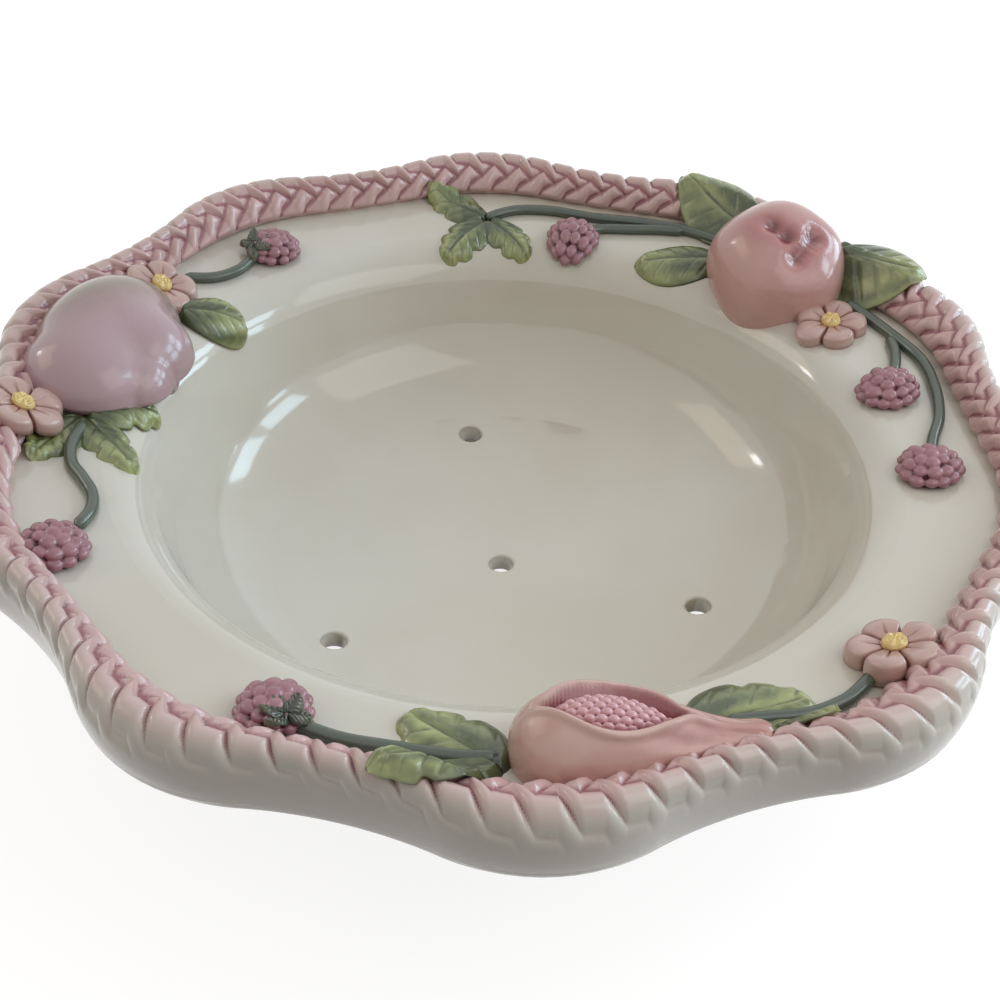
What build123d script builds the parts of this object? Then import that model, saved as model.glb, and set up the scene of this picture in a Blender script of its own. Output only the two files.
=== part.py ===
from build123d import *
import os
from math import cos, pi, radians, sin, tan

# Berry colander bowl: a glazed earthenware bowl with drain holes, a rope border along its scalloped
# rim, and three sprigs of fruit luted onto its flange.
# Millimetres, +Z up. The origin is the middle of the foot, on the table. The viewer stands at -Y.
# Angles are in degrees. "across" runs from 0 at the edge of the well to 1 at the mean rim, and
# a heading is turned from straight outwards, anticlockwise as seen from above.

# Bowl
rim_radius = 138.0
scallop_count = 10
scallop_depth = 4.4
scallop_angle = 95.0
wall = 6.0
floor_height = 10.4
floor_rise = 5.1
floor_radius = 66.0
heel_radius = 90.0
heel_height = 36.0
well_radius = 105.0
well_height = 58.8
well_edge_roll = 14.0
flange_slope = 0.13
lip_thickness = 11.0
lip_bottom = 52.0
bed_width = 7.0
rope_bed = 64.0
lip_top_roll = 5.0
lip_bottom_roll = 4.0
foot_radius = 71.0
foot_width = 7.0
foot_roll = 1.5

# Drain holes: one in the middle and a ring of three
drain_diameter = 7.0
drain_ring_radius = 58.7
drain_ring_count = 3
drain_angle = 101.5
drain_roll = 0.8

# Rope border: two rows of strands that slope away from a spine. Its inner edge and its spine follow
# the scallops only in part, so the rope swells on the bulges and narrows in the bays.
strands_per_scallop = 10
strand_gap = 0.35
rope_width = 10.0
rope_follow = 0.35
spine_inset = 6.2
spine_follow = 0.55
spine_lift = 1.4
strand_overrun = 3.0
outer_strand_tuck = 0.4
outer_strand_drop = 4.6
outer_strand_lean = 2.7
inner_strand_tuck = 0.3
inner_strand_lean = 1.6
least_strand_share = 0.6

# The film of slip that a flat-backed sprig is bedded on
slip_gap = 0.2

# Leaves
leaf_thickness = 3.0
vein_width = 1.0
vein_depth = 0.8

# Vines
vine_diameter = 3.2

# Berries: drupelets in rings on a domed core
berry_diameter = 17.5
berry_height = 6.6
drupelet_diameter = 3.7
drupelet_rings = 4
drupelet_stand = 0.9
sepal_length = 7.5
sepal_width = 3.4
sepal_thickness = 2.6
sepal_count = 5

# Blossoms
petal_count = 5
petal_length = 10.5
petal_width = 9.4
petal_thickness = 5.2
petal_pitch = 8.0
eye_diameter = 5.6
eye_height = 4.2

# Peach: a body with two swollen cheeks
peach_length = 54.0
peach_width = 38.0
peach_height = 19.0
peach_front_cheek = 32.0
peach_front_shift = 12.96
peach_front_rise = 16.15
peach_inner_cheek = 27.0
peach_inner_back = 2.16
peach_inner_shift = 10.64
peach_inner_rise = 14.25

# Apple, its blossom end turned up and towards the front
apple_diameter = 45.0
apple_depth = 39.0
apple_lift = 6.0
apple_clearance = 1.2
apple_tilt = 32.0
apple_dimple_depth = 5.0
apple_crease_count = 5
apple_crease_length = 11.0
apple_crease_width = 2.4

# Fig, lying along the rim, split open above
fig_length = 55.0
fig_diameter = 26.0
fig_neck_diameter = 9.5
fig_lift = 6.0
fig_split_length = 38.0
fig_split_width = 15.0
fig_split_depth = 7.0
fig_split_roll = 4.0
fig_seed_diameter = 3.2
fig_seed_pitch = 2.9

# Places on the flange: angle, across, heading, lift and tilt
peach_place = (169.0, 0.27, 90.0, 2.0)
apple_place = (45.0, 0.3, -103.0, apple_lift, -apple_tilt)
fig_place = (280.3, 0.39, 83.0, fig_lift)
berries = {
    "left_front_berry": (210.0, 0.5, 150.0),
    "left_back_berry": (131.5, 0.3, 75.0),
    "right_upper_berry": (12.6, 0.13, 30.0),
    "right_lower_berry": (353.6, 0.2, 60.0),
    "back_berry": (80.0, 0.02, -60.0),
    "front_berry": (246.9, 0.38, 70.0),
}
calyxes = {"left_back_berry": "left_back_calyx", "front_berry": "front_calyx"}
blossoms = {
    "left_back_blossom": (152.0, 0.35, 20.0, 2.0, 10.0),
    "left_edge_blossom": (184.7, 0.63, 10.0, 1.3, 6.0),
    "apple_blossom": (30.8, 0.17, 35.0, 0.6),
    "front_blossom": (316.3, 0.5, 0.0, 2.0, 10.0),
}

# Leaves: angle, across and heading at the stalk, then length, width and the pitch up to the tip.
# A leaf with no pitch is draped on the flange.
leaves = {
    "apple_top_leaf": (53.0, 0.66, 80.0, 33.0, 20.0, 9.0),
    "apple_right_leaf": (40.0, 0.62, -66.0, 34.0, 21.0, 9.0),
    "fig_lower_left_leaf": (269.0, 0.62, -76.0, 25.0, 13.0, 11.0),
    "peach_leaf": (155.0, 0.2, -136.6, 28.0, 19.0, 0.0),
    "peach_trefoil_inner": (184.5, 0.2, -143.8, 21.0, 15.0, 0.0),
    "peach_trefoil_outer": (184.5, 0.2, 62.0, 21.0, 14.0, 0.0),
    "peach_trefoil_front": (184.5, 0.2, 131.7, 23.0, 13.0, 0.0),
    "apple_left_leaf": (53.0, 0.2, 123.5, 31.0, 21.0, 0.0),
    "back_trefoil_outer": (95.0, 0.24, 53.1, 24.0, 14.0, 0.0),
    "back_trefoil_left": (95.0, 0.24, 138.1, 22.6, 15.0, 0.0),
    "back_trefoil_right": (95.0, 0.24, -140.8, 21.0, 14.0, 0.0),
    "fig_upper_left_leaf": (273.0, 0.35, -105.0, 29.0, 19.0, 0.0),
    "fig_upper_right_leaf": (289.5, 0.1, 80.0, 29.0, 18.0, 0.0),
    "fig_lower_right_leaf": (298.0, 0.55, 60.0, 14.0, 7.0, 0.0),
}

# Vines: angle and across of each point of the route
vines = {
    "left_front_vine": ((184.5, 0.2), (189.4, 0.26), (193.5, 0.25), (197.0, 0.17), (200.5, 0.12),
                        (204.0, 0.16),
                        (207.0, 0.3)),
    "left_back_vine": ((147.0, 0.45), (143.5, 0.26), (139.5, 0.21), (135.5, 0.27), (132.5, 0.3)),
    "right_vine": ((34.0, 0.5), (30.0, 0.52), (24.5, 0.54), (17.6, 0.57), (11.0, 0.5), (5.0, 0.4),
                   (0.2, 0.28),
                   (356.0, 0.22)),
    "right_branch": ((24.0, 0.5), (20.5, 0.42), (17.0, 0.3), (14.5, 0.18)),
    "back_vine": ((57.0, 0.52), (63.5, 0.52), (70.5, 0.47), (78.0, 0.41), (84.4, 0.44), (89.5, 0.42),
                  (93.0, 0.34),
                  (95.0, 0.26)),
    "back_branch": ((63.0, 0.5), (67.0, 0.42), (71.0, 0.33), (76.0, 0.24), (79.0, 0.1)),
    "front_left_vine": ((271.0, 0.4), (266.2, 0.42), (259.5, 0.42), (255.3, 0.44), (251.7, 0.43),
                        (248.5, 0.4)),
    "front_right_vine": ((295.0, 0.34), (298.0, 0.4), (302.9, 0.53), (306.7, 0.57), (309.2, 0.56),
                         (313.0, 0.52)),
}


def polar(radius, angle, height=0.0):
    return Vector(radius * cos(radians(angle)), radius * sin(radians(angle)), height)


def flange_height(radius):
    return well_height + flange_slope * (radius - well_radius)


def flange_point(angle, across, lift=0.0):
    radius = well_radius + across * (rim_radius - well_radius)
    return polar(radius, angle, flange_height(radius) + lift)


def flange_plane(angle, across, heading=0.0, lift=0.0):
    # a plane that lies on the flange, its x axis turned from straight outwards by the heading
    normal = polar(-flange_slope, angle, 1.0).normalized()
    ahead = polar(1.0, angle + heading)
    along = ahead - normal * ahead.dot(normal)
    return Plane(flange_point(angle, across) + normal * lift, x_dir=along, z_dir=normal)


# A scalloped line: bulges and bays are arcs that meet on a common tangent
half_pitch = 180.0 / scallop_count
crest_reach = rim_radius + scallop_depth
bay_reach = rim_radius - scallop_depth
blank_radius = crest_reach + lip_thickness


def scallop_arcs(mean, depth):
    # how far out the bulge and bay arcs have their centres, and their radii
    half_chord = mean * sin(radians(half_pitch / 2))
    rise = mean + depth - mean * cos(radians(half_pitch / 2))
    bulge_radius = (half_chord**2 + rise**2) / (2 * rise)
    bulge_centre = mean + depth - bulge_radius
    bay = mean - depth
    lean = bulge_centre * cos(radians(half_pitch))
    bay_power = bulge_radius**2 - bulge_centre**2 - bay**2 + 2 * lean * bay
    bay_radius = bay_power / (2 * (bay - lean - bulge_radius))
    return bulge_centre, bulge_radius, bay + bay_radius, bay_radius


def scallop_join(mean, depth):
    # where a bulge that points along X meets the bay after it
    bulge_centre, bulge_radius, bay_centre, _ = scallop_arcs(mean, depth)
    middle = polar(bulge_centre, 0)
    return middle + (polar(bay_centre, half_pitch) - middle).normalized() * bulge_radius


def scallop_reach(angle, mean=rim_radius, depth=scallop_depth):
    # the radius of the scalloped line at an angle
    bulge_centre, bulge_radius, bay_centre, bay_radius = scallop_arcs(mean, depth)
    off_crest = abs((angle - scallop_angle + half_pitch) % (2 * half_pitch) - half_pitch)
    if off_crest < Vector(1, 0).get_angle(scallop_join(mean, depth)):
        turn = radians(off_crest)
        return bulge_centre * cos(turn) + (bulge_radius**2 - (bulge_centre * sin(turn)) ** 2) ** 0.5
    turn = radians(half_pitch - off_crest)
    return bay_centre * cos(turn) - (bay_radius**2 - (bay_centre * sin(turn)) ** 2) ** 0.5


def scallop_outline(mean=rim_radius, depth=scallop_depth):
    join = scallop_join(mean, depth)
    join_angle = Vector(1, 0).get_angle(join)
    edges = []
    for count in range(scallop_count):
        crest = scallop_angle + 2 * half_pitch * count
        start = join.rotate(Axis.Z, crest - 2 * join_angle)
        middle = join.rotate(Axis.Z, crest)
        end = join.rotate(Axis.Z, crest + 2 * (half_pitch - join_angle))
        edges.append(ThreePointArc(start, polar(mean + depth, crest), middle))
        edges.append(ThreePointArc(middle, polar(mean - depth, crest + half_pitch), end))
    return make_face(edges)


def inside_line():
    # floor, heel, wall, rolled edge of the well and flange, from the axis to past the rim
    floor = TangentArc((0, floor_height), (floor_radius, floor_height + floor_rise), tangent=(1, 0))
    heel = TangentArc(floor @ 1, (heel_radius, heel_height), tangent=floor % 1)
    climb = heel % 1
    run = (flange_height(heel_radius) - heel_height) / (climb.Y - flange_slope * climb.X)
    rim = (blank_radius, flange_height(blank_radius))
    upper = FilletPolyline(heel @ 1, heel @ 1 + climb * run, rim, radius=well_edge_roll)
    return Wire([floor, heel, *upper.edges()])


def mould(lift=0.0):
    # everything below the bowl's upper surface, raised by lift: the sprigs are cut to it
    line = inside_line()
    if lift:
        line = line.offset_2d(-lift, side=Side.LEFT, closed=False)
    outer = Vector((line @ 1).X, 0)
    edges = [*line.edges(), Line(line @ 1, outer), Line(outer, (0, 0)), Line((0, 0), line @ 0)]
    return revolve(Plane.XZ * make_face(edges), Axis.Z)


def foot_ring():
    top = floor_height + floor_rise - wall / 2
    section = Pos(foot_radius - foot_width / 2, top / 2) * Rectangle(foot_width, top)
    ring = revolve(Plane.XZ * section, Axis.Z)
    return fillet(ring.edges().group_by(Axis.Z)[0], foot_roll)


def lip_ring():
    # a rounded ring that hangs below the flange and carries a level bed for the rope above it
    outline = scallop_outline()
    disc = Pos(0, 0, lip_bottom) * extrude(outline, rope_bed - lip_bottom)
    disc = fillet(disc.edges().group_by(Axis.Z)[-1], lip_top_roll)
    disc = fillet(disc.edges().group_by(Axis.Z)[0], lip_bottom_roll)
    lip_join = flange_height(bay_reach - lip_thickness) - wall / 2
    disc -= extrude(offset(outline, -lip_thickness), lip_join)
    return disc - Pos(0, 0, lip_join) * extrude(offset(outline, -bed_width), blank_radius)


def bowl_body():
    shell = revolve(Plane.XZ * make_face(inside_line().offset_2d(wall, side=Side.RIGHT)), Axis.Z)
    bowl = shell & extrude(offset(scallop_outline(), -bed_width / 2), blank_radius)
    bowl += lip_ring()
    bowl += foot_ring()
    turns = [drain_angle + 360 * k / drain_ring_count for k in range(drain_ring_count)]
    ring = [polar(drain_ring_radius, turn) for turn in turns]
    for place in (Vector(0, 0), *ring):
        bowl -= Pos(place) * Cylinder(drain_diameter / 2, 4 * floor_height)
    bores = bowl.faces().filter_by(GeomType.CYLINDER).filter_by(lambda f: f.radius < drain_diameter)
    mouths = [edge for bore in bores for edge in bore.edges().filter_by(GeomType.LINE, reverse=True)]
    return fillet(mouths, drain_roll)


def ellipsoid(length, width, height):
    return scale(Sphere(0.5), by=(length, width, height))


def largest(shape):
    return shape.solids().sort_by(SortBy.VOLUME)[-1]


def place_of(angle, across, heading=0.0, lift=0.0, tilt=0.0):
    return flange_plane(angle, across, heading, lift) * Rot(0, -tilt, 0)


# Rope border
def following(angle, inset, share):
    # a line inside the rim that follows a share of its scallops
    return scallop_reach(angle, rim_radius - inset, share * scallop_depth)


def strand(start, tip):
    # a plump grain of clay from the spine to its tip, as thick as its neighbours leave room for
    reach = tip - start
    sideways = Vector(-start.Y, start.X).normalized()
    lean = reach.normalized().dot(sideways)
    pitch = 2 * pi * Vector(start.X, start.Y).length / (scallop_count * strands_per_scallop)
    thickness = pitch * (1 - lean**2) ** 0.5 - strand_gap
    half = split(Ellipse(reach.length / 2, thickness / 2), Plane.XZ)
    place = Plane(start + reach * 0.5, x_dir=reach, z_dir=reach.cross(sideways))
    return place * revolve(Rot(-90, 0, 0) * half, Axis.X)


def outer_strand(angle):
    spine = following(angle, spine_inset + strand_overrun, spine_follow)
    tip_angle = angle + outer_strand_lean
    tip_reach = scallop_reach(tip_angle) - outer_strand_tuck
    start = polar(spine, angle, rope_bed + spine_lift)
    return strand(start, polar(tip_reach, tip_angle, rope_bed - outer_strand_drop))


def inner_strand(angle):
    spine = following(angle, spine_inset - strand_overrun, spine_follow)
    tip_angle = angle + inner_strand_lean
    tip_reach = following(tip_angle, rope_width, rope_follow)
    start = polar(spine, angle, rope_bed + spine_lift)
    return strand(start, polar(tip_reach, tip_angle, flange_height(tip_reach) - inner_strand_tuck))


def rim_sector(body):
    # the stretch of rim that one scallop's strands lie on, with a neighbour's width to spare
    spare = half_pitch / 2
    angles = (scallop_angle - spare, scallop_angle + half_pitch, scallop_angle + 2 * half_pitch + spare)
    outside = [polar(2 * rim_radius, angle) for angle in angles]
    corners = [polar(well_radius, angles[0]), *outside, polar(well_radius, angles[2])]
    return body & extrude(make_face(Polyline(*corners, close=True)), blank_radius)


def rope_row(make_strand, offset_steps, away, covers):
    # one scallop's strands are cut to their side of the lip, turned round the rim, and cut back to
    # what covers them
    step = 2 * half_pitch / strands_per_scallop
    run = [make_strand(scallop_angle + step * (k + offset_steps)) for k in range(strands_per_scallop)]
    run = [largest(one - away) for one in run]
    row = []
    for turn in range(scallop_count):
        for one in run:
            whole = Rot(0, 0, 2 * half_pitch * turn) * one
            left = cut_back(whole, covers)
            row += [part for part in left if part.volume > least_strand_share * whole.volume]
    return Compound(row)


def cut_back(piece, covers):
    # covers are pairs of a solid and its box
    box = piece.bounding_box()
    left = [piece]
    for cover, cover_box in covers:
        if box.overlaps(cover_box):
            left = [part for kept in left for part in (kept - cover).solids()]
    return left


# Leaves
def leaf_outline(length, width):
    # an oval blade whose end is notched into three lobes
    notch = Vector(0.72 * length, 0.36 * width)
    shoulder = Vector(0.36 * length, 0.5 * width)
    sides = [
        ThreePointArc((0, 0), (shoulder.X, side * shoulder.Y), (notch.X, side * notch.Y)) for side in (1, -1)
    ]
    return make_face([*sides, ThreePointArc((notch.X, notch.Y), (length, 0), (notch.X, -notch.Y))])


def leaf_veins(length, width):
    veins = Pos(0.54 * length, 0) * Rectangle(0.62 * length, vein_width)
    for start, reach in ((0.33, 0.32), (0.55, 0.28)):
        for side in (1, -1):
            branch = Pos(reach * width / 2, 0) * Rectangle(reach * width, 0.7 * vein_width)
            veins += Pos(start * length, 0) * Rot(0, 0, side * 48) * branch
    return veins


def leaning_leaf(frame, length, width):
    # a blade that leans up onto the rope: thick below, and cut to the flange
    blade = extrude(leaf_outline(length, width), -4 * leaf_thickness)
    return frame * (blade - extrude(leaf_veins(length, width), -vein_depth)) - seat


def draped_leaf(frame, length, width):
    # a blade that lies on the flange and bends with it over the edge of the well
    blade = column(frame, leaf_outline(length, width)) & leaf_layer
    return blade - (column(frame, leaf_veins(length, width)) & vein_layer)


# Vines
def bend_radii(points):
    # each bend is as wide as the shorter of its two runs allows
    radii = []
    for before, here, after in zip(points, points[1:], points[2:]):
        turn = (here - before).get_angle(after - here)
        run = min((here - before).length, (after - here).length)
        radii.append(0.45 * run / tan(radians(turn / 2)))
    return radii


def vine(*places):
    points = [flange_point(angle, across, slip_gap + vine_diameter / 2) for angle, across in places]
    path = FilletPolyline(*points, radius=bend_radii(points))
    return sweep(Plane(path @ 0, z_dir=path % 0) * Circle(vine_diameter / 2), path)


# Berries, calyxes and blossoms have flat backs
def flat_backed(shape):
    return largest(split(shape, Plane.XY, keep=Keep.TOP))


def berry_form():
    # the core is a ball sunk in the flange, and each drupelet stands out of it
    ball = ((berry_diameter / 2) ** 2 + berry_height**2) / (2 * berry_height)
    sunk = Pos(0, 0, berry_height - ball)
    ring_radius = ball - drupelet_diameter / 2
    lowest = 90 - Vector(0, 1).get_angle(Vector(berry_diameter / 2, ball - berry_height))
    drupelets = [Pos(0, 0, ring_radius) * Sphere(drupelet_diameter / 2)]
    for ring in range(drupelet_rings):
        rise = lowest + (90 - lowest) * (ring + 0.2) / drupelet_rings
        radius = ring_radius * cos(radians(rise))
        count = round(2 * pi * radius / (0.9 * drupelet_diameter))
        for k in range(count):
            spot = polar(radius, 360 * (k + 0.5 * (ring % 2)) / count, ring_radius * sin(radians(rise)))
            drupelets.append(Pos(spot) * Sphere(drupelet_diameter / 2))
    return flat_backed(sunk * (Sphere(ball - drupelet_stand) + drupelets))


def calyx_form():
    # sepals that spread from the stalk end of a berry
    sepal = Pos(sepal_length / 2, 0) * ellipsoid(sepal_length, sepal_width, sepal_thickness)
    star = sepal + [Rot(0, 0, 360 * k / sepal_count) * sepal for k in range(1, sepal_count)]
    star = Pos(berry_diameter / 2 + sepal_width / 2, 0, sepal_thickness / 4) * star
    return largest(flat_backed(star) - Cylinder(berry_diameter / 2, berry_diameter))


def petal_places():
    return [Rot(0, 0, 360 * k / petal_count) for k in range(petal_count)]


def eye_form():
    return Pos(0, 0, petal_thickness / 2) * ellipsoid(eye_diameter, eye_diameter, eye_height)


def blossom_form():
    petal = Pos(petal_length / 2, 0) * ellipsoid(petal_length, petal_width, petal_thickness)
    petal = Rot(0, -petal_pitch, 0) * petal
    petals = petal + [turn * petal for turn in petal_places()[1:]]
    return flat_backed(petals) - eye_form()


# Fruit
def peach_ovals():
    # place, length, width and height of the body and of its two cheeks
    inner_place = Pos(-peach_inner_back, peach_inner_shift)
    return [
        (Pos(0, 0), peach_length, peach_width, 2 * peach_height),
        (Pos(peach_front_shift, 0), peach_front_cheek, peach_width, 2 * peach_front_rise),
        (inner_place, peach_inner_cheek, peach_inner_cheek, 2 * peach_inner_rise),
    ]


def peach_form():
    body, front, inner = [place * ellipsoid(*sizes) for place, *sizes in peach_ovals()]
    return body + front + inner


def apple_form():
    radius = apple_diameter / 2
    top = apple_depth / 2
    shoulder = Spline(
        (0, -top), (0.7 * radius, -0.78 * top), (radius, 0.05 * top), (0.6 * radius, 0.93 * top),
        (0.22 * radius, 0.9 * top), (0, top - apple_dimple_depth), tangents=((1, 0), (-1, 0)),
    )
    apple = revolve(Plane.XZ * make_face([shoulder, Line(shoulder @ 1, shoulder @ 0)]), Axis.Z)
    crease = ellipsoid(apple_crease_length, apple_crease_width, apple_dimple_depth)
    crease = Pos(apple_crease_length / 2, 0, top) * crease
    for k in range(apple_crease_count):
        apple -= Rot(0, 0, 360 * k / apple_crease_count) * crease
    return apple


fig_blunt_end = -0.31 * fig_length
fig_neck_end = fig_blunt_end + fig_length


def fig_half():
    end = fig_blunt_end
    neck = fig_neck_end
    line = Spline(
        (end, 0), (0.5 * end, 0.45 * fig_diameter), (0.02 * fig_length, 0.5 * fig_diameter),
        (0.3 * fig_length, 0.33 * fig_diameter), (0.55 * fig_length, 0.5 * fig_neck_diameter),
        (neck - 0.02 * fig_length, 0.5 * fig_neck_diameter), tangents=((0, 1), (1, 0)),
    )
    return make_face([line, Line(line @ 1, (neck, 0)), Line((neck, 0), (end, 0))])


def fig_split_frame(sink):
    return Rot(fig_split_roll, 0, 0) * Pos(0.12 * fig_length, 0, 0.5 * fig_diameter - sink)


def fig_split():
    return fig_split_frame(0) * ellipsoid(fig_split_length, fig_split_width, 2 * fig_split_depth)


def fig_pulp():
    beads = []
    rows = int(fig_split_width / fig_seed_pitch / 2)
    columns = int(fig_split_length / fig_seed_pitch / 2)
    for row in range(-rows, rows + 1):
        for column in range(-columns, columns + 1):
            spot = Vector((column + 0.5 * (row % 2)) * fig_seed_pitch, row * 0.87 * fig_seed_pitch)
            beads.append(Pos(spot) * Sphere(fig_seed_diameter / 2))
    bed = extrude(Rectangle(fig_split_length, fig_split_width), -fig_split_depth)
    return fig_split_frame(fig_split_depth / 2) * (bed + beads)


# Assembly: what lies on top is laid first, and what runs under it is cut back to its outline
body = bowl_body()
seat = mould()
pieces = {"bowl_body": body}
covers = {}


def lay(name, shape, cover, under=()):
    left = cut_back(shape, [covers[other] for other in under])
    pieces[name] = largest(max(left, key=lambda part: part.volume))
    covers[name] = (cover, cover.bounding_box())


def column(place, outline):
    # the room that a piece takes up, straight up and down from its outline
    return place * extrude(outline, berry_diameter, both=True)


peach_frame = place_of(*peach_place)
peach_rings = [place * Ellipse(length / 2, width / 2) for place, length, width, _ in peach_ovals()]
peach_outline = Sketch() + peach_rings
lay("peach", peach_frame * peach_form() - seat, column(peach_frame, peach_outline))
apple_frame = place_of(*apple_place)
apple_ring = Circle(apple_diameter / 2 + apple_clearance)
lay("apple", apple_frame * apple_form() - seat, column(place_of(*apple_place[:3]), apple_ring))
fig_frame = place_of(*fig_place)
hollow = fig_frame * fig_split()
fig_ends = Circle(fig_diameter / 2) + Pos(fig_neck_end, 0) * Circle(fig_neck_diameter / 2)
fig_solid = fig_frame * revolve(fig_half(), Axis.X)
lay("fig", fig_solid - seat - hollow, column(fig_frame, make_hull(fig_ends.edges())))
pieces["fig_seeds"] = largest(hollow & (fig_frame * fig_pulp()))
berry = berry_form()
calyx = calyx_form()
for name, place in berries.items():
    frame = place_of(*place, slip_gap)
    lay(name, frame * berry, column(frame, Circle(berry_diameter / 2)))
    if name in calyxes:
        sepal_ring = Pos(berry_diameter / 2 + sepal_width / 2, 0) * Circle(sepal_length)
        lay(calyxes[name], frame * calyx, column(frame, sepal_ring))
blossom = blossom_form()
for name, place in blossoms.items():
    frame = place_of(*place)
    lay(name, frame * blossom, column(frame, Circle(petal_length + strand_gap)), ("peach", "apple"))
    pieces[name + "_eye"] = frame * eye_form()
leaf_layer = mould(slip_gap + leaf_thickness) - mould(slip_gap)
vein_layer = leaf_layer - mould(slip_gap + leaf_thickness - vein_depth)
for name, (angle, across, heading, length, width, pitch) in leaves.items():
    frame = place_of(angle, across, heading, leaf_thickness, pitch)
    make_leaf = leaning_leaf if pitch else draped_leaf
    lay(name, make_leaf(frame, length, width), column(frame, leaf_outline(length, width)), list(covers))
for name, places in vines.items():
    stem = vine(*places)
    lay(name, stem, stem, list(covers))
sector = rim_sector(body)
tops = [covers[name] for name in covers if name not in vines]
spine_line = scallop_outline(rim_radius - spine_inset, spine_follow * scallop_depth)
core = extrude(spine_line, blank_radius)
beyond = extrude(Circle(blank_radius) - offset(spine_line, -strand_gap), blank_radius)
pieces["rope_outer_strands"] = rope_row(outer_strand, 0, [sector, core], tops)
pieces["rope_inner_strands"] = rope_row(inner_strand, 0.5, [sector, beyond], tops)

os.makedirs("parts", exist_ok=True)
for name, shape in pieces.items():
    shape.label = name
    export_step(shape, f"parts/{name}.step")
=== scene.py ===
# %% [markdown]
# # Berry colander bowl
#
# A glazed earthenware bowl for rinsing berries. The bowl itself was cast in a mould. Its rope border and
# its sprigs of fruit were pressed by hand and luted on, painted under the glaze, and the whole was dipped
# in a clear glossy coat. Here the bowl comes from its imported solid, and every other piece is drawn again
# in the place of its solid, with a soft, hand-pressed surface and brushed paint. Lengths are in
# millimetres and angles in degrees until a mesh is made, in metres.

import math
import random

import bmesh
import bpy
import numpy as np
from mathutils import Matrix, Vector


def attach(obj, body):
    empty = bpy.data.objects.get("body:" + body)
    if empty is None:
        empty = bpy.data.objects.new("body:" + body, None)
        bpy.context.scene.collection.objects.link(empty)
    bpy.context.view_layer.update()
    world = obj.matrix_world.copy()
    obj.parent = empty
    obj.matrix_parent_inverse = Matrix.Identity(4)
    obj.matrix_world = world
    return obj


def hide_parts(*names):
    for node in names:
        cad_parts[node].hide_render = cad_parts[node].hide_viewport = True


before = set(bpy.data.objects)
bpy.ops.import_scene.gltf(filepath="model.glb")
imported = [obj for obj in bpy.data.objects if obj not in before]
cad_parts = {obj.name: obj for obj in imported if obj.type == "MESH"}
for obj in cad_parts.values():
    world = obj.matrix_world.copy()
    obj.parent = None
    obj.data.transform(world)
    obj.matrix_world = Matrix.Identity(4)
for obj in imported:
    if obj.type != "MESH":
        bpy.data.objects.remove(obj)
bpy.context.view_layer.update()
scene = bpy.context.scene

# %% [markdown]
# ## Camera
#
# The photo was taken from the front, about 40 cm away and a little over 40 degrees above the table, with
# the camera turned slightly. It could be aimed with a constraint, but the small roll is easier to write
# as a matrix of three axes. The picture is cropped, so the lens is shifted up.

# %% Place the camera
lens_data = bpy.data.cameras.new("camera")
lens_data.sensor_width = 36
lens_data.lens = 50.4
lens_data.shift_x = -0.0015
lens_data.shift_y = 0.0524
lens_data.clip_start = 0.01
camera = bpy.data.objects.new("camera", lens_data)
scene.collection.objects.link(camera)
scene.camera = camera

view_lift, view_distance, view_roll = math.radians(41.03), 0.4055, math.radians(2.63)
looked_at = Vector((0, 0, 0.0144))
ahead = Vector((0, math.cos(view_lift), -math.sin(view_lift)))
right = Vector((1, 0, 0))
up = right.cross(ahead)
rolled_right = right * math.cos(view_roll) + up * math.sin(view_roll)
rolled_up = up * math.cos(view_roll) - right * math.sin(view_roll)
stand = Matrix((rolled_right, rolled_up, -ahead)).transposed().to_4x4()
stand.translation = looked_at - ahead * view_distance
camera.matrix_world = stand
print("camera at", [round(c, 3) for c in stand.translation])

# %% [markdown]
# ## The ground the sprigs lie on
#
# The inside of the bowl is one line turned about the axis: floor, heel, wall, rolled edge and flange. The
# same line is written here as three arcs and a straight, so that a sprig can be laid on it by its place
# in plan. Shrinkwrapping each piece to the bowl would also do, but a formula gives the same answer every
# time.

# %% Inside line of the bowl
WELL, RIM = 105.0, 138.0
FLANGE_AT_WELL, FLANGE_SLOPE = 58.8, 0.13
FLANGE_FROM, FLANGE_TO = 106.0, 170.0
floor_round = ((0.0, 440.0), 429.6)
heel_round = ((61.38, 45.2), 30.06)
edge_round = ((107.61, 45.02), 14.0)
HEEL_START, WALL_LEAN, EDGE_END = -81.16, -17.8, 97.4


def arc(centre, radius, start, end, count):
    turn = np.radians(np.linspace(start, end, count))
    return np.stack([centre[0] + radius * np.cos(turn), centre[1] + radius * np.sin(turn)], 1)


def flange_height(radius):
    return FLANGE_AT_WELL + FLANGE_SLOPE * (radius - WELL)


floor_arc = arc(*floor_round, -90.0, HEEL_START, 20)
heel_arc = arc(*heel_round, HEEL_START, WALL_LEAN, 24)
edge_arc = arc(*edge_round, WALL_LEAN + 180, EDGE_END, 24)
flange_line = np.array([[radius, flange_height(radius)] for radius in (FLANGE_FROM, FLANGE_TO)])
inside = np.concatenate([floor_arc, heel_arc[1:], edge_arc, flange_line])


def height(radius):
    return np.interp(radius, inside[:, 0], inside[:, 1])


print("well edge at", round(float(height(WELL)), 1), "and rim at", round(float(height(RIM)), 1))


# %% Places on the flange
def spot(angle, across, heading=0.0):
    """A place in plan, from 0 at the well to 1 at the rim, and the way it faces."""
    radius = WELL + across * (RIM - WELL)
    a, h = math.radians(angle), math.radians(angle + heading)
    return np.array([radius * math.cos(a), radius * math.sin(a)]), np.array([math.cos(h), math.sin(h)])


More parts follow.
